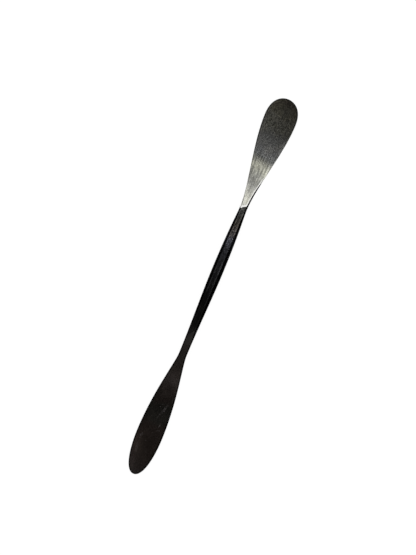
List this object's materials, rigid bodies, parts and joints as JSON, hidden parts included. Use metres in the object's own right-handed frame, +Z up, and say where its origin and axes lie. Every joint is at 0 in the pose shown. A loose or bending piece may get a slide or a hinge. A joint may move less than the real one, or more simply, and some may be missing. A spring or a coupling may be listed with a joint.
{
  "type": "lab spatula",
  "caption": "Double-ended steel lab spatula: a faceted handle with a slender leaf-shaped blade at one end and a wider pear-shaped blade at the other.",
  "frame": {"origin": "on the resting surface, under the middle of the spatula's length and width", "axes": "+X along the spatula towards the pear-shaped blade, +Z up out of the blades' faces, +Y across the blades"},
  "size_m": [0.18, 0.0146, 0.004],
  "materials": {
    "ground_steel": "ground stainless steel: brushed along the pear-shaped blade, dark polish on the handle and the leaf-shaped blade"
  },
  "bodies": {
    "root": {"spatula": "ground_steel"}
  },
  "joints": []
}
